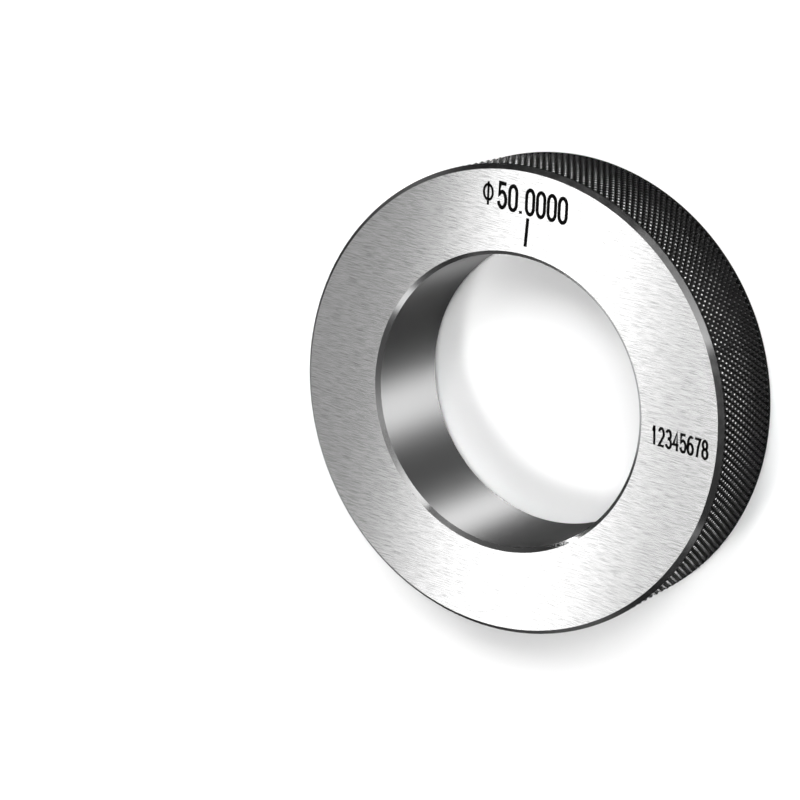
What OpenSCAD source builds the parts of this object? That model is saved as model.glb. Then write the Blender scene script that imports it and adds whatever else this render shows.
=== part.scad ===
// Plain ring gauge: a hardened steel ring whose lapped bore is the standard, with a knurled rim to hold it by.
// The ring lies on its back face. Z runs along the bore, out of the marked front face.
// The origin is the centre of the bore in the plane of the back face. Y points to the index mark.

/* [Ring] */
// Diameter of the lapped bore, the size that the gauge checks
bore_d = 50; // [40:0.5:60]
// Diameter of the turned blank, before the knurl raises it
blank_d = 80; // [74:0.5:90]
// Width from the back face to the front face
width = 19; // [15:0.5:22]

/* [Edges] */
// Leg of the 45 degree chamfer at both ends of the rim
rim_chamfer = 0.8; // [0.4:0.1:2]
// Leg of the 45 degree chamfer at both mouths of the bore
bore_chamfer = 0.7; // [0.2:0.1:2]

/* [Knurl] */
// Crests of the diamond knurl round the rim
knurl_crests = 180; // [100:1:190]
// Angle between the grooves and the axis of the ring
knurl_angle = 30; // [24:1:32]
// How far the knurl raises its crests above the blank
crest_rise = 0.05; // [0.05:0.05:0.4]
// How far the grooves are cut below the blank
groove_depth = 0.4; // [0.1:0.05:0.5]

/* [Hidden] */
$fn = 180;

bore_r = bore_d / 2;
blank_r = blank_d / 2;
crest_r = blank_r + crest_rise;
groove_r = blank_r - groove_depth;
face_r = blank_r - rim_chamfer;
// How far the tool that bores the ring runs past each face
overrun = 1;

// One row of crests lies half an axial pitch above the last, and half a circular pitch round from it
circular_pitch = 2 * PI * crest_r / knurl_crests;
knurl_band = width - 2 * rim_chamfer;
knurl_rows = round(2 * knurl_band * tan(knurl_angle) / circular_pitch);
row_height = knurl_band / knurl_rows;

// Each row holds the crests and, between them, the points where the grooves cross
row_points = 2 * knurl_crests;

// A crest stands where the row and the place in it differ by an odd number
function is_crest(row, place) = (row + place) % 2 == 1;

// The knurl runs out to the plain edges of the chamfers, which are its first and last rows
function is_edge(row) = row == 0 || row == knurl_rows;

function knurl_radius(row, place) = is_edge(row) ? blank_r : is_crest(row, place) ? crest_r : groove_r;

function round_axis(r, place, z) =
    let (angle = 360 * place / row_points) [r * cos(angle), r * sin(angle), z];

function knurl_point(row, place) =
    round_axis(knurl_radius(row, place), place, rim_chamfer + row * row_height);

function point_index(row, place) = row * row_points + place % row_points;

// A cell of four neighbouring points is split from groove crossing to groove crossing,
// so that the four triangles round each crest are the flanks of one pyramid
function cell_triangles(row, place) =
    let (a = point_index(row, place), b = point_index(row, place + 1),
         c = point_index(row + 1, place + 1), d = point_index(row + 1, place))
    is_crest(row, place) ? [[a, d, b], [b, d, c]] : [[a, c, b], [a, d, c]];

// Chamfer and face at one end: every second point of the edge row has one below it on the edge of the face
function end_triangles(row, edge_start, centre) = [for (i = [0:knurl_crests - 1])
    let (edge = edge_start + i, next_edge = edge_start + (i + 1) % knurl_crests,
         a = point_index(row, 2 * i), b = point_index(row, 2 * i + 1), c = point_index(row, 2 * i + 2))
    each [[edge, a, b], [edge, b, next_edge], [next_edge, b, c], [centre, edge, next_edge]]];

function flipped(triangles) = [for (t = triangles) [t[0], t[2], t[1]]];

// Blank with a diamond-knurled rim, turned to width and chamfered, before it is bored
module knurled_blank() {
    last = knurl_rows;
    rim = [for (row = [0:last], place = [0:row_points - 1]) knurl_point(row, place)];
    back_edge = [for (i = [0:knurl_crests - 1]) round_axis(face_r, 2 * i, 0)];
    front_edge = [for (i = [0:knurl_crests - 1]) round_axis(face_r, 2 * i, width)];
    back_start = len(rim);
    front_start = back_start + knurl_crests;
    back_centre = front_start + knurl_crests;
    front_centre = back_centre + 1;
    flanks = [for (row = [0:last - 1], place = [0:row_points - 1]) each cell_triangles(row, place)];
    polyhedron(
        concat(rim, back_edge, front_edge, [[0, 0, 0], [0, 0, width]]),
        concat(flanks, end_triangles(0, back_start, back_centre),
               flipped(end_triangles(last, front_start, front_centre))),
        convexity = 4);
}

// Bore with its two chamfers, as the space that the lapped hole takes
module bore_space() {
    flare = bore_chamfer + overrun;
    rotate_extrude()
    polygon([
        [0, -overrun],
        [bore_r + flare, -overrun],
        [bore_r, bore_chamfer],
        [bore_r, width - bore_chamfer],
        [bore_r + flare, width + overrun],
        [0, width + overrun]
    ]);
}

module ring() {
    color("dimgray")
    difference() {
        knurled_blank();
        bore_space();
    }
}

ring();
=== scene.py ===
"""Looks of a plain ring gauge: a knurled steel ring with brushed faces, a lapped bore and etched marks.

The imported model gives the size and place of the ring. It lies on its back face with Z along the bore, out of
the marked front face, and Y towards the index mark. Lengths in this file are metres, written as so many MM.
"""
import logging
import math
from dataclasses import dataclass, field
from enum import Enum
from typing import Optional

import bmesh
import bpy
from mathutils import Matrix, Vector


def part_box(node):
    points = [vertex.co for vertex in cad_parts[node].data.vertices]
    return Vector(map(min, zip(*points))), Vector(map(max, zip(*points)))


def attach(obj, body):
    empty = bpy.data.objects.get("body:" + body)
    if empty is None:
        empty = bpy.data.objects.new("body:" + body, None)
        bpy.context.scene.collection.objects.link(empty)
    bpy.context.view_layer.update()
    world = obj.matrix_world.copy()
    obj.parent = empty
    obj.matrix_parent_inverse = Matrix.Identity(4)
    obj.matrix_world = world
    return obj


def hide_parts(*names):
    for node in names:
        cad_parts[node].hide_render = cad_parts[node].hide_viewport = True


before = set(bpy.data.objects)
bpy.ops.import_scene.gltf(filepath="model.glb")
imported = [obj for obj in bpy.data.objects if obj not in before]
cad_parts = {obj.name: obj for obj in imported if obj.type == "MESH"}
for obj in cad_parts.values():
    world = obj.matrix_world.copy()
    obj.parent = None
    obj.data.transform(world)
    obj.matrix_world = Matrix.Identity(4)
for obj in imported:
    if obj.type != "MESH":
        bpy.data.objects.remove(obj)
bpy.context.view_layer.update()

MM = 0.001
RING_NODE = "ring"
BODY = "root"
log = logging.getLogger("ring_gauge")


def linear(hex_colour: str) -> tuple[float, float, float, float]:
    """Turns an sRGB colour into the linear one that shaders take.

    Args:
        hex_colour: Six hex digits, with or without a leading hash sign.

    Returns:
        Linear red, green, blue and an alpha of one.
    """
    digits = hex_colour.lstrip("#")
    channels = [int(digits[i:i + 2], 16) / 255 for i in (0, 2, 4)]
    curved = [c / 12.92 if c <= 0.04045 else ((c + 0.055) / 1.055) ** 2.4 for c in channels]
    return (curved[0], curved[1], curved[2], 1.0)


def add_node(tree: bpy.types.NodeTree, kind: str, settings: Optional[dict] = None,
             links: Optional[dict] = None) -> bpy.types.Node:
    """Adds a shader node, sets its values and wires its inputs.

    Args:
        tree: The node tree that gets the node.
        kind: Blender's name for the type of node.
        settings: Values by name or number. A name is an attribute of the node or else one of its inputs.
        links: Output sockets by the name or number of the input that they feed.

    Returns:
        The new node.
    """
    node = tree.nodes.new(kind)
    for name, value in (settings or {}).items():
        if isinstance(name, str) and hasattr(node, name):
            setattr(node, name, value)
        else:
            node.inputs[name].default_value = value
    for name, socket in (links or {}).items():
        tree.links.new(socket, node.inputs[name])
    return node


def set_ramp(ramp: bpy.types.Node, stops: list[tuple[float, str]]) -> None:
    """Sets the stops of a colour ramp.

    Args:
        ramp: The colour ramp node.
        stops: Position and hex colour of each stop, in order.
    """
    elements = ramp.color_ramp.elements
    while len(elements) < len(stops):
        elements.new(1.0)
    for element, (position, colour) in zip(elements, stops):
        element.position = position
        element.color = linear(colour)


def new_material(name: str) -> tuple[bpy.types.Material, bpy.types.NodeTree]:
    """Makes an empty node material.

    Args:
        name: The material's name.

    Returns:
        The material and its cleared node tree.
    """
    material = bpy.data.materials.new(name)
    material.use_nodes = True
    material.node_tree.nodes.clear()
    return material, material.node_tree


def finish_material(tree: bpy.types.NodeTree, shader: bpy.types.Node) -> None:
    """Wires a shader node to the material's output.

    Args:
        tree: The material's node tree.
        shader: The shader node.
    """
    add_node(tree, "ShaderNodeOutputMaterial", links={"Surface": shader.outputs[0]})


def stretched_noise(tree: bpy.types.NodeTree, length: float, width: float, depth: float,
                    detail: float = 2.0) -> bpy.types.NodeSocket:
    """Noise on Object coordinates with a grain of a real size along each axis.

    Args:
        tree: The node tree that gets the nodes.
        length: Size of a grain along X.
        width: Size of a grain along Y.
        depth: Size of a grain along Z.
        detail: Octaves of finer grain.

    Returns:
        The noise value.
    """
    place = add_node(tree, "ShaderNodeTexCoord")
    scaled = add_node(tree, "ShaderNodeMapping", {"Scale": (1 / length, 1 / width, 1 / depth)},
                      {"Vector": place.outputs["Object"]})
    noise = add_node(tree, "ShaderNodeTexNoise", {"Scale": 1.0, "Detail": detail, "Roughness": 0.6},
                     {"Vector": scaled.outputs[0]})
    return noise.outputs["Fac"]


def add_object(name: str, data: bpy.types.ID) -> bpy.types.Object:
    """Puts data into the scene as an object at the origin.

    Args:
        name: The object's name.
        data: A mesh, curve, lamp or camera.

    Returns:
        The new object.
    """
    made = bpy.data.objects.new(name, data)
    bpy.context.scene.collection.objects.link(made)
    return made


def add_mesh(name: str, mesh: bmesh.types.BMesh) -> bpy.types.Object:
    """Turns a finished bmesh into an object and frees it.

    Args:
        name: The object's name.
        mesh: The shape, in its place.

    Returns:
        The new object.
    """
    data = bpy.data.meshes.new(name)
    mesh.to_mesh(data)
    mesh.free()
    return add_object(name, data)


class Surface(Enum):
    """Finished surfaces of the ring, in the order of its material slots."""

    FACE = 0
    BORE = 1
    BORE_CHAMFER = 2
    RIM_CHAMFER = 3
    KNURL = 4


@dataclass(frozen=True)
class BrushedSteel:
    """Ground tool steel, brushed along X with an abrasive.

    Its streaks smear reflections across them, so the face brightens in two wide fans. The real streaks are a
    few hundredths of a millimetre wide, too fine to show, so they are drawn coarser.
    """

    colour: str = "#E4E4E4"
    dark_streak: str = "#B4B4B4"
    roughness: float = 0.21
    streak_length: float = 2.6 * MM
    streak_width: float = 0.15 * MM
    streak_depth: float = 0.01 * MM
    streak_relief: float = 0.16
    reach_in: float = 10 * MM

    def build(self) -> bpy.types.Material:
        """Makes the material.

        Returns:
            The material, with its shader and pattern.
        """
        material, tree = new_material("brushed_tool_steel")
        fine = stretched_noise(tree, self.streak_length, self.streak_width, self.reach_in, 3.0)
        ramp = add_node(tree, "ShaderNodeValToRGB", links={"Fac": fine})
        set_ramp(ramp, [(0.3, self.dark_streak), (0.55, self.colour)])
        bump = add_node(tree, "ShaderNodeBump", {
            "Strength": self.streak_relief, "Distance": self.streak_depth}, {"Height": fine})
        across = add_node(tree, "ShaderNodeCombineXYZ", {"Y": 1.0})
        shader = add_node(tree, "ShaderNodeBsdfPrincipled", {
            "Metallic": 1.0, "Roughness": self.roughness, "Anisotropic": 1.0,
        }, {"Base Color": ramp.outputs[0], "Normal": bump.outputs[0], "Tangent": across.outputs[0]})
        finish_material(tree, shader)
        return material


@dataclass(frozen=True)
class LappedSteel:
    """Hardened steel lapped round the bore: marks that run round smear its reflections along the axis.

    The polished wall looks dark between bright bands that run from mouth to mouth, so its colour is low. The
    chamfers at its mouths are turned, not lapped, and mirror evenly.
    """

    name: str = "lapped_tool_steel"
    colour: str = "#404040"
    roughness: float = 0.48
    anisotropy: float = 1.0

    def build(self) -> bpy.types.Material:
        """Makes the material.

        Returns:
            The material, with its shader and pattern.
        """
        material, tree = new_material(self.name)
        along = add_node(tree, "ShaderNodeCombineXYZ", {"Z": 1.0})
        shader = add_node(tree, "ShaderNodeBsdfPrincipled", {
            "Base Color": linear(self.colour), "Metallic": 1.0, "Roughness": self.roughness,
            "Anisotropic": self.anisotropy,
        }, {"Tangent": along.outputs[0]})
        finish_material(tree, shader)
        return material


@dataclass(frozen=True)
class BlackOxide:
    """Steel blackened in a hot salt bath and oiled: a thin dark skin with a soft metallic sheen.

    Where a colour for wear and highlight is given, the skin wears through to bare steel between the two radii
    of wear and beyond. That bare steel is also a painted highlight, which grows from little at the first
    highlight height to most at the second, towards the front face. The edge tint keeps it dark at a slant.
    """

    name: str
    colour: str
    roughness: float
    wear_and_highlight: Optional[str] = None
    worn_radii: tuple[float, float] = (0.0, 0.0)
    highlight_heights: tuple[float, float] = (6 * MM, 18 * MM)
    edge_tint: str = "#989898"
    mottle_size: float = 1.6 * MM

    def wear_and_highlight_colour(self, tree: bpy.types.NodeTree, mottle: bpy.types.NodeSocket) -> bpy.types.NodeSocket:
        """Blends the black with bare steel on the crests, where wear bares them, and paints a highlight
        towards the front face.

        Args:
            tree: The node tree that gets the nodes.
            mottle: Noise that makes the wear uneven.

        Returns:
            The blended colour.
        """
        place = add_node(tree, "ShaderNodeTexCoord")
        flat = add_node(tree, "ShaderNodeVectorMath", {"operation": "MULTIPLY", 1: (1.0, 1.0, 0.0)},
                        {0: place.outputs["Object"]})
        radius = add_node(tree, "ShaderNodeVectorMath", {"operation": "LENGTH"}, {0: flat.outputs[0]})
        inner, outer = self.worn_radii
        share = add_node(tree, "ShaderNodeMapRange", {"From Min": inner, "From Max": outer},
                         {"Value": radius.outputs["Value"]})
        axes = add_node(tree, "ShaderNodeSeparateXYZ", links={0: place.outputs["Object"]})
        # Painted highlight: the crests get lighter towards the front face; the radii above keep it to the
        # crests, where the wear is real.
        low, high = self.highlight_heights
        front_highlight = add_node(tree, "ShaderNodeMapRange", {
            "From Min": low, "From Max": high, "To Min": 0.1, "To Max": 1.5}, {"Value": axes.outputs["Z"]})
        uneven = add_node(tree, "ShaderNodeMapRange", {
            "From Min": 0.35, "From Max": 0.65, "To Min": 0.2, "To Max": 1.0}, {"Value": mottle})
        crest_wear_and_highlight = add_node(tree, "ShaderNodeMath", {"operation": "MULTIPLY"},
                           {0: share.outputs[0], 1: front_highlight.outputs[0]})
        wear_and_highlight = add_node(tree, "ShaderNodeMath", {"operation": "MULTIPLY"},
                        {0: crest_wear_and_highlight.outputs[0], 1: uneven.outputs[0]})
        ramp = add_node(tree, "ShaderNodeValToRGB", links={"Fac": wear_and_highlight.outputs[0]})
        set_ramp(ramp, [(0.0, self.colour), (1.0, self.wear_and_highlight or self.colour)])
        return ramp.outputs[0]

    def build(self) -> bpy.types.Material:
        """Makes the material.

        Returns:
            The material, with its shader and pattern.
        """
        material, tree = new_material(self.name)
        mottle = stretched_noise(tree, self.mottle_size, self.mottle_size, self.mottle_size, 3.0)
        rough = add_node(tree, "ShaderNodeMapRange", {
            "To Min": self.roughness - 0.06, "To Max": self.roughness + 0.08}, {"Value": mottle})
        links = {"Roughness": rough.outputs[0]}
        if self.wear_and_highlight:
            links["Base Color"] = self.wear_and_highlight_colour(tree, mottle)
        shader = add_node(tree, "ShaderNodeBsdfPrincipled", {
            "Base Color": linear(self.colour), "Metallic": 1.0, "Specular Tint": linear(self.edge_tint),
        }, links)
        finish_material(tree, shader)
        return material


@dataclass(frozen=True)
class EtchedBlack:
    """Marks etched electrically into the steel: a matt black oxide, as good as flush with the face."""

    colour: str = "#0A0A0A"
    roughness: float = 0.6
    grain: float = 0.2 * MM

    def build(self) -> bpy.types.Material:
        """Makes the material.

        Returns:
            The material, with its shader and pattern.
        """
        material, tree = new_material("etched_black_marks")
        grain = stretched_noise(tree, self.grain, self.grain, self.grain)
        rough = add_node(tree, "ShaderNodeMapRange", {
            "To Min": self.roughness - 0.1, "To Max": self.roughness + 0.1}, {"Value": grain})
        shader = add_node(tree, "ShaderNodeBsdfPrincipled", {
            "Base Color": linear(self.colour), "Specular IOR Level": 0.0}, {"Roughness": rough.outputs[0]})
        finish_material(tree, shader)
        return material


@dataclass
class KnurledRing:
    """The one-piece ring, with the knurl at its real pitch.

    One pitch of the rim is made flat, with X round the rim, Y along the bore and Z out from the axis. It is
    wrapped round the axis, and copies of it close the ring.
    """

    crest_radius: float
    width: float
    bore_radius: float = 25.0 * MM
    crest_rise: float = 0.05 * MM
    groove_depth: float = 0.4 * MM
    rim_chamfer: float = 0.8 * MM
    bore_chamfer: float = 0.7 * MM
    crests: int = 216
    knurl_angle: float = math.radians(30.0)
    groove_floor: float = 0.03 * MM
    crest_flat: float = 0.05 * MM
    crest_round: float = 0.06 * MM
    shoulder: float = 0.93
    edge_hold: float = 0.12 * MM
    sharp_from: float = math.radians(29.0)
    mesh: bmesh.types.BMesh = field(default_factory=bmesh.new)

    @property
    def blank_radius(self) -> float:
        """Radius of the turned blank, before the knurl raised its crests."""
        return self.crest_radius - self.crest_rise

    @property
    def root_radius(self) -> float:
        """Radius at the floor of the grooves."""
        return self.blank_radius - self.groove_depth

    @property
    def pitch(self) -> float:
        """Distance between crests round the rim."""
        return 2 * math.pi * self.blank_radius / self.crests

    @property
    def rows(self) -> int:
        """Rows of half diamonds between the chamfers."""
        ideal = self.pitch / 2 / math.tan(self.knurl_angle)
        return round((self.width - 2 * self.rim_chamfer) / ideal)

    @property
    def row_step(self) -> float:
        """Distance between rows along the bore."""
        return (self.width - 2 * self.rim_chamfer) / self.rows

    def row_place(self, row: int) -> tuple[float, float]:
        """Finds the middle of a row's diamond.

        Args:
            row: Number of the row, from the back of the ring.

        Returns:
            Its place round the rim and along the bore.
        """
        return (self.pitch / 2 * (row % 2), self.rim_chamfer + row * self.row_step)

    def crest(self, row: int) -> None:
        """Adds one pyramid of the knurl, on a diamond whose corners are groove crossings.

        Args:
            row: Number of its row, from the back of the ring.
        """
        x, y = self.row_place(row)
        corners = [(-self.pitch / 2, 0), (0, -self.row_step), (self.pitch / 2, 0), (0, self.row_step)]
        verts = [self.mesh.verts.new((x + a, y + b, self.root_radius)) for a, b in corners]
        top = [self.mesh.faces.new(verts)]
        depth = self.crest_rise + self.groove_depth
        half_width = self.pitch / 2 * math.cos(self.knurl_angle)
        flank = half_width - self.groove_floor - self.crest_flat - self.crest_round
        steps = [(self.groove_floor, 0.0), (flank, depth * self.shoulder),
                 (self.crest_round, depth * (1 - self.shoulder))]
        for thickness, rise in steps:
            bmesh.ops.inset_individual(self.mesh, faces=top, thickness=thickness, depth=rise,
                                       use_even_offset=True)

    def run_out(self, row: int, inward: float) -> None:
        """Adds the half diamond where the grooves end at a chamfer.

        Args:
            row: The first or the last row.
            inward: 1 where the knurl lies towards larger Y, -1 where it lies towards smaller Y.
        """
        x, y = self.row_place(row)
        corners = [(x - self.pitch / 2, y), (x + self.pitch / 2, y), (x, y + inward * self.row_step)]
        self.mesh.faces.new([self.mesh.verts.new((*corner, self.root_radius)) for corner in corners])

    def knurl_strip(self) -> None:
        """Makes one pitch of the knurl from chamfer to chamfer."""
        for row in range(1, self.rows):
            self.crest(row)
        self.run_out(0, 1.0)
        self.run_out(self.rows, -1.0)
        bmesh.ops.remove_doubles(self.mesh, verts=self.mesh.verts, dist=0.001 * MM)
        for face in self.mesh.faces:
            face.material_index = Surface.KNURL.value

    def end_chain(self, y: float) -> list[bmesh.types.BMEdge]:
        """Finds the strip's open edge at one end of the knurl.

        Args:
            y: Place of that end along the bore.

        Returns:
            The edges along it.
        """
        return [e for e in self.mesh.edges if all(abs(v.co.y - y) < 0.001 * MM for v in e.verts)]

    def profile(self) -> list[tuple[float, float, Surface]]:
        """Corners of the turned section from the front of the rim, over the bore, to the back of the rim.

        Returns:
            Place along the bore, radius and the surface that leads to each corner.
        """
        front, inner, outer = self.width, self.bore_radius, self.blank_radius
        return [
            (front - self.rim_chamfer, outer, Surface.KNURL),
            (front, outer - self.rim_chamfer, Surface.RIM_CHAMFER),
            (front, inner + self.bore_chamfer, Surface.FACE),
            (front - self.bore_chamfer, inner, Surface.BORE_CHAMFER),
            (self.bore_chamfer, inner, Surface.BORE),
            (0.0, inner + self.bore_chamfer, Surface.BORE_CHAMFER),
            (0.0, outer - self.rim_chamfer, Surface.FACE),
            (self.rim_chamfer, outer, Surface.RIM_CHAMFER),
        ]

    def held_profile(self) -> list[tuple[float, float, Surface]]:
        """Adds a point close to each end of each turned surface, which keeps its shading true between them.

        Returns:
            The corners of the section with the added points, in the same form.
        """
        corners = self.profile()
        held = corners[:1]
        for (y, radius, _), (next_y, next_radius, surface) in zip(corners, corners[1:]):
            share = self.edge_hold / math.dist((y, radius), (next_y, next_radius))
            for part in (share, 1 - share, 1.0):
                held.append((y + part * (next_y - y), radius + part * (next_radius - radius), surface))
        return held

    def turn_section(self) -> None:
        """Carries the front chain over the section to the back chain, one point at a time."""
        chain = self.end_chain(self.width - self.rim_chamfer)
        back = self.end_chain(self.rim_chamfer)
        for y, radius, surface in self.held_profile():
            made = bmesh.ops.extrude_edge_only(self.mesh, edges=chain)["geom"]
            chain = [g for g in made if isinstance(g, bmesh.types.BMEdge)]
            for vert in {v for e in chain for v in e.verts}:
                vert.co.y, vert.co.z = y, radius
            for face in (g for g in made if isinstance(g, bmesh.types.BMFace)):
                face.material_index = surface.value
        made = bmesh.ops.bridge_loops(self.mesh, edges=chain + back)["faces"]
        for face in made:
            face.material_index = Surface.KNURL.value

    def wrap(self) -> None:
        """Bends the flat strip round the bore."""
        for vert in self.mesh.verts:
            angle = 2 * math.pi * vert.co.x / self.pitch / self.crests
            vert.co = Vector((vert.co.z * math.cos(angle), vert.co.z * math.sin(angle), vert.co.y))

    def close_round(self) -> None:
        """Copies the strip round the axis and welds the copies."""
        everything = list(self.mesh.verts) + list(self.mesh.edges) + list(self.mesh.faces)
        bmesh.ops.spin(self.mesh, geom=everything, cent=(0, 0, 0), axis=(0, 0, 1), dvec=(0, 0, 0),
                       angle=2 * math.pi * (self.crests - 1) / self.crests, steps=self.crests - 1,
                       use_duplicate=True, use_merge=False)
        bmesh.ops.remove_doubles(self.mesh, verts=self.mesh.verts, dist=0.001 * MM)
        bmesh.ops.recalc_face_normals(self.mesh, faces=self.mesh.faces)

    def shade(self) -> None:
        """Shades the faces smooth and keeps the real corners sharp."""
        for face in self.mesh.faces:
            face.smooth = True
        for edge in self.mesh.edges:
            edge.smooth = len(edge.link_faces) == 2 and edge.calc_face_angle() < self.sharp_from

    def build(self) -> bpy.types.Object:
        """Makes the ring.

        Returns:
            The ring as one object, each face numbered by its finished surface for the slots that dress adds.
        """
        self.knurl_strip()
        self.turn_section()
        self.wrap()
        self.close_round()
        self.shade()
        return add_mesh("gauge_ring", self.mesh)

    def dress(self, ring: bpy.types.Object) -> None:
        """Gives each surface its finish.

        Args:
            ring: The object that build made.
        """
        finishes = {
            Surface.FACE: BrushedSteel().build(),
            Surface.BORE: LappedSteel().build(),
            Surface.BORE_CHAMFER: LappedSteel("turned_bore_chamfer", "#7C7C7C", 0.12, 0.0).build(),
            Surface.RIM_CHAMFER: BlackOxide("black_oxide_chamfer", "#505050", 0.16).build(),
            # The light crest colour is bare steel where wear bares the crests, and a painted highlight that
            # grows towards the front face.
            Surface.KNURL: BlackOxide(
                "black_oxide_knurl", "#282828", 0.3, "#E0E0E0",
                (self.crest_radius - 0.08 * MM, self.crest_radius - 0.01 * MM)).build(),
        }
        for surface in Surface:
            ring.data.materials.append(finishes[surface])


def arc(centre: tuple[float, float], radii: tuple[float, float], start: float, end: float,
        steps: int = 12) -> list[tuple[float, float]]:
    """Points along part of an ellipse.

    Args:
        centre: Its centre.
        radii: Its half width and half height.
        start: First angle in degrees, anticlockwise from the right.
        end: Last angle in degrees.
        steps: Number of chords.

    Returns:
        The points from the first angle to the last.
    """
    angles = [math.radians(start + (end - start) * i / steps) for i in range(steps + 1)]
    return [(centre[0] + radii[0] * math.cos(a), centre[1] + radii[1] * math.sin(a)) for a in angles]


# Strokes of each plain character in a box one wide and one high
STROKES: dict[str, list[list[tuple[float, float]]]] = {
    "0": [arc((0.5, 0.72), (0.5, 0.28), 0, 180) + arc((0.5, 0.28), (0.5, 0.28), 180, 360) + [(1.0, 0.72)]],
    "1": [[(0.08, 0.8), (0.4, 0.8), (0.4, 1.0)], [(0.5, 1.05), (0.5, -0.05)]],
    "2": [arc((0.5, 0.7), (0.46, 0.3), 165, -25) + [(0.0, 0.0), (1.0, 0.0)]],
    "3": [arc((0.48, 0.755), (0.44, 0.245), 160, -85) + arc((0.48, 0.26), (0.5, 0.26), 85, -165)],
    "4": [[(0.72, -0.05), (0.72, 1.0), (0.0, 0.3), (1.05, 0.3)]],
    "5": [[(1.0, 1.0), (0.14, 1.0), (0.04, 0.52)] + arc((0.48, 0.33), (0.52, 0.33), 140, -165)],
    "6": [arc((0.5, 0.3), (0.5, 0.3), 180, -180, 20), arc((0.62, 0.42), (0.62, 0.58), 190, 60)],
    "7": [[(-0.05, 1.0), (1.0, 1.0), (0.58, 0.5), (0.36, -0.05)]],
    "8": [arc((0.5, 0.765), (0.42, 0.235), -90, 270, 20), arc((0.5, 0.265), (0.5, 0.265), -90, 270, 20)],
    "Φ": [arc((0.5, 0.55), (0.5, 0.36), 0, 360, 24), [(0.5, -0.05), (0.5, 1.05)]],
    ".": [[(0.5, -0.06), (0.5, 0.06)]],
}


@dataclass(frozen=True)
class Lettering:
    """Plain characters drawn with a flat pen, in a row along X.

    Width and height are taken between the middles of the strokes, and the pen's two sizes are the widths of
    an upright and of a level stroke. The mitre limit keeps a sharp corner from reaching far out.
    """

    name: str
    text: str
    left: float
    foot: float
    step: float
    width: float
    height: float
    pen: tuple[float, float]
    lean: float
    mitre_limit: float = 0.6

    def place(self, column: float, x: float, y: float) -> Vector:
        """Turns a point of a character's box into a place on the face.

        Args:
            column: Place of the character's left side along X.
            x: Place across the box.
            y: Place up the box.

        Returns:
            The place, at height zero.
        """
        up = y * self.height
        return Vector((column + x * self.width - up * math.tan(self.lean), self.foot + up, 0.0))

    def stroke(self, mesh: bmesh.types.BMesh, line: list[Vector]) -> None:
        """Adds one stroke of the pen, with mitred corners and flat ends.

        Args:
            mesh: The mesh that gets it.
            line: Points along the middle of the stroke.
        """
        half = Vector((self.pen[0] / 2, self.pen[1] / 2))
        scaled = [Vector((p.x / half.x, p.y / half.y)) for p in line]
        closed = (scaled[0] - scaled[-1]).length < 1e-6
        runs = [(b - a).normalized() for a, b in zip(scaled, scaled[1:])]
        normals = [Vector((-run.y, run.x)) for run in runs]
        before = [normals[-1] if closed else normals[0]] + normals
        after = normals + [normals[0] if closed else normals[-1]]
        rows = []
        for point, first, second in zip(line, before, after):
            mitre = (first + second).normalized()
            reach = 1 / max(self.mitre_limit, mitre.dot(first))
            side = Vector((mitre.x * half.x, mitre.y * half.y, 0.0)) * reach
            rows.append((mesh.verts.new(point + side), mesh.verts.new(point - side)))
        for (a, b), (c, d) in zip(rows, rows[1:]):
            mesh.faces.new((a, b, d, c))

    def build(self, low: float, high: float) -> bpy.types.Object:
        """Makes the characters as one thin mesh.

        Args:
            low: Height of the foot of the marks.
            high: Height of their top.

        Returns:
            The characters.
        """
        mesh = bmesh.new()
        column = self.left
        for letter in self.text:
            for points in STROKES[letter]:
                self.stroke(mesh, [self.place(column, x, y) for x, y in points])
            column += self.step
        for vert in mesh.verts:
            vert.co.z = low
        raised = bmesh.ops.extrude_face_region(mesh, geom=list(mesh.faces), use_keep_orig=True)["geom"]
        for vert in (g for g in raised if isinstance(g, bmesh.types.BMVert)):
            vert.co.z = high
        bmesh.ops.recalc_face_normals(mesh, faces=mesh.faces)
        return add_mesh(self.name, mesh)


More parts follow.
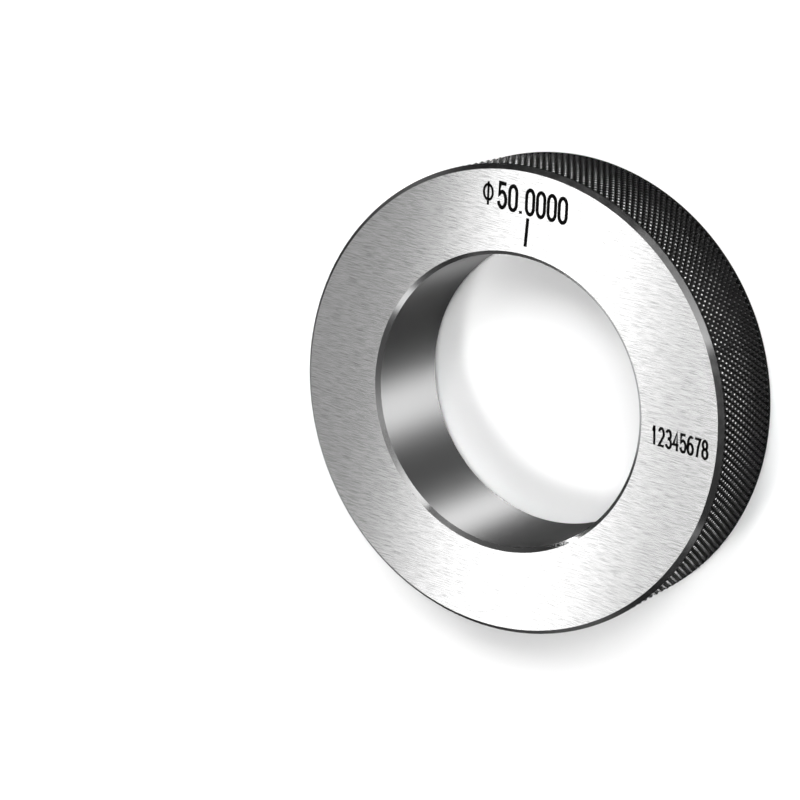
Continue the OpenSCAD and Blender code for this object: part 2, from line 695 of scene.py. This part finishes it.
@dataclass
class FaceMarks:
    """Marks on the front face: the index line, the nominal size and a plain run of digits."""

    face_height: float
    proud: float = 0.006 * MM
    line_width: float = 0.6 * MM
    line_from: float = 27.0 * MM
    line_to: float = 31.75 * MM
    line_lean: float = math.radians(2.4)

    def index_line(self) -> bpy.types.Object:
        """Makes the short line that points to the bore.

        Returns:
            The line as a thin bar that stands half proud of the face.
        """
        mesh = bmesh.new()
        bmesh.ops.create_cube(mesh, size=1.0)
        scale = (self.line_width, self.line_to - self.line_from, 2 * self.proud)
        centre = (-0.1 * MM, (self.line_from + self.line_to) / 2, self.face_height)
        lean = Matrix.Rotation(self.line_lean, 4, "Z")
        bmesh.ops.transform(mesh, matrix=Matrix.Translation(centre) @ lean @ Matrix.Diagonal((*scale, 1.0)),
                            verts=mesh.verts)
        return add_mesh("index_line", mesh)

    def lettering(self) -> list[Lettering]:
        """Lists the rows of characters, with the lean that the etching has.

        Returns:
            The nominal size in four parts and the plain digits.
        """
        lean = math.radians(5.5)
        pen = (0.58 * MM, 0.66 * MM)
        high, wide, foot = 3.97 * MM, 1.36 * MM, 32.42 * MM
        return [
            Lettering("diameter_sign", "Φ", -8.82 * MM, 32.5 * MM, 0.0, 1.7 * MM, 3.5 * MM,
                      (0.42 * MM, 0.46 * MM), lean),
            Lettering("nominal_size_whole", "50", -5.94 * MM, foot, 2.05 * MM, wide, high, pen, lean),
            Lettering("nominal_size_point", ".", -2.38 * MM, foot, 0.0, wide, high, pen, lean),
            Lettering("nominal_size_decimals", "0000", -0.66 * MM, foot, 2.05 * MM, wide, high, pen, lean),
            Lettering("plain_digits", "12345678", 27.78 * MM, 0.78 * MM, 1.3 * MM, 0.9 * MM, 2.85 * MM,
                      (0.42 * MM, 0.46 * MM), math.radians(8.5)),
        ]

    def build(self) -> list[bpy.types.Object]:
        """Makes and dresses all the marks.

        Returns:
            The index line and the rows of characters.
        """
        low, high = self.face_height - self.proud, self.face_height + self.proud
        marks = [self.index_line()] + [row.build(low, high) for row in self.lettering()]
        black = EtchedBlack().build()
        for mark in marks:
            mark.data.materials.append(black)
        return marks


@dataclass(frozen=True)
class Lamp:
    """A flat lamp or a bright card, placed by its direction from the ring and facing it.

    Angles are in degrees. Azimuth is anticlockwise from X, and the spans are how wide and high it looks from
    the ring. A radiance of one is as bright as a white wall. A card that lights nothing matt only shows in
    the steel.
    """

    name: str
    azimuth: float
    elevation: float
    span: tuple[float, float]
    radiance: float
    turn: float = 0.0
    distance: float = 0.9
    lights_matt: bool = True
    shows_in_steel: bool = True

    def hang(self, target: Vector) -> None:
        """Puts the lamp into the scene.

        Args:
            target: The point that it faces.
        """
        around, up = math.radians(self.azimuth), math.radians(self.elevation)
        away = Vector((math.cos(up) * math.cos(around), math.cos(up) * math.sin(around), math.sin(up)))
        data = bpy.data.lights.new(self.name, "AREA")
        data.shape = "RECTANGLE"
        data.size, data.size_y = (2 * self.distance * math.tan(math.radians(s / 2)) for s in self.span)
        data.energy = self.radiance * math.pi * data.size * data.size_y
        lamp = add_object(self.name, data)
        face = (-away).to_track_quat("-Z", "Y").to_matrix().to_4x4()
        lamp.matrix_world = (Matrix.Translation(target + away * self.distance) @ face
                             @ Matrix.Rotation(math.radians(self.turn), 4, "Z"))
        lamp.visible_camera = False
        lamp.visible_diffuse = self.lights_matt
        lamp.visible_glossy = self.shows_in_steel


@dataclass
class Studio:
    """White floor, soft lamps and the camera of the photograph.

    The camera looks at a point of the front face's plane from a tilt off the bore's axis, and is rolled a
    little.
    """

    aim: Vector
    tilt: float = math.radians(35.07)
    azimuth: float = math.radians(31.29)
    distance: float = 414.52 * MM
    roll: float = math.radians(-6.96)
    lens: float = 108.78
    floor_size: float = 12.0
    floor_white: float = 0.9

    def camera(self) -> None:
        """Places the camera where the photograph was taken from, turned as it was."""
        data = bpy.data.cameras.new("camera")
        data.lens = self.lens
        data.sensor_width = 36.0
        data.clip_start = 0.01
        data.clip_end = 20.0
        away = Vector((math.sin(self.tilt) * math.cos(self.azimuth),
                       math.sin(self.tilt) * math.sin(self.azimuth), math.cos(self.tilt)))
        forward = -away
        right = forward.cross(Vector((0, 1, 0))).normalized()
        up = right.cross(forward)
        up = Matrix.Rotation(-self.roll, 3, away) @ up
        right = forward.cross(up)
        turn = Matrix((right, up, away)).transposed().to_4x4()
        camera = add_object("camera", data)
        camera.matrix_world = Matrix.Translation(self.aim + away * self.distance) @ turn
        bpy.context.scene.camera = camera

    def floor(self) -> None:
        """Lays the matt white floor that the ring rests on."""
        mesh = bmesh.new()
        bmesh.ops.create_grid(mesh, x_segments=1, y_segments=1, size=self.floor_size)
        floor = add_mesh("floor", mesh)
        material, tree = new_material("white_floor")
        white = (self.floor_white, self.floor_white, self.floor_white, 1.0)
        matt = add_node(tree, "ShaderNodeBsdfDiffuse", {"Color": white})
        finish_material(tree, matt)
        floor.data.materials.append(material)

    def world(self) -> None:
        """Lights everything from a dark horizon, grey walls and a paler ceiling, which the steel shows."""
        world = bpy.data.worlds.new("studio")
        world.use_nodes = True
        tree = world.node_tree
        tree.nodes.clear()
        place = add_node(tree, "ShaderNodeTexCoord")
        axes = add_node(tree, "ShaderNodeSeparateXYZ", links={0: place.outputs["Generated"]})
        ramp = add_node(tree, "ShaderNodeValToRGB", links={"Fac": axes.outputs["Z"]})
        set_ramp(ramp, [(0.0, "#505050"), (0.05, "#505050"), (0.25, "#8C8C8C"), (0.6, "#8C8C8C"),
                        (0.8, "#AAAAAA"), (1.0, "#AAAAAA")])
        back = add_node(tree, "ShaderNodeBackground", {"Strength": 1.0}, {"Color": ramp.outputs[0]})
        add_node(tree, "ShaderNodeOutputWorld", links={"Surface": back.outputs[0]})
        bpy.context.scene.world = world

    def lamps(self) -> list[Lamp]:
        """Lists the lamps that light the floor and the cards that only show in the steel.

        Returns:
            A key lamp, four lamps for the soft shadows, and eight cards.
        """
        return [
            Lamp("key_lamp", 236, 63, (9.5, 9.5), 53.0, shows_in_steel=False),
            Lamp("top_lamp", 94, 54, (16, 16), 14.4, shows_in_steel=False),
            Lamp("fill_lamp", 50, 50, (18, 18), 11.5, shows_in_steel=False),
            Lamp("low_top_lamp", 96, 16, (30, 8), 26.0, shows_in_steel=False),
            Lamp("low_right_lamp", 48, 16, (30, 8), 31.0, shows_in_steel=False),
            Lamp("face_softbox", 211, 59, (36, 6), 1.95, turn=-26, lights_matt=False),
            Lamp("right_card", 7, 54, (21, 17), 240.0, lights_matt=False),
            Lamp("right_low_card", 12, 12, (20, 7), 5.0, lights_matt=False),
            Lamp("top_card", 102, 48, (16, 20), 215.0, lights_matt=False),
            Lamp("top_low_card", 84, 10, (12, 8), 5.0, lights_matt=False),
            Lamp("rim_card", 51, 31, (46, 8), 8.0, lights_matt=False),
            Lamp("left_grey_card", 273, 31, (20, 24), 23.0, lights_matt=False),
            Lamp("front_low_card", 298, 18, (41, 6), 3.5, lights_matt=False),
        ]

    def build(self) -> None:
        """Sets up the whole studio."""
        self.camera()
        self.floor()
        self.world()
        for lamp in self.lamps():
            lamp.hang(Vector((0, 0, self.aim.z)))
        bpy.context.scene.view_settings.view_transform = "Standard"


def main() -> None:
    """Builds the ring, its marks and the studio, and reports each piece."""
    logging.basicConfig(level=logging.INFO, format="%(name)s: %(message)s")
    low, high = (Vector(corner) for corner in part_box(RING_NODE))
    gauge = KnurledRing(crest_radius=(high.x - low.x) / 2, width=high.z - low.z)
    ring = gauge.build()
    gauge.dress(ring)
    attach(ring, BODY)
    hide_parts(RING_NODE)
    log.info("%s: %d faces", ring.name, len(ring.data.polygons))
    for mark in FaceMarks(high.z).build():
        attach(mark, BODY)
        log.info("%s: %d faces", mark.name, len(mark.data.polygons))
    Studio(aim=Vector((-20.12 * MM, -4.88 * MM, high.z))).build()


if __name__ == "__main__":
    main()
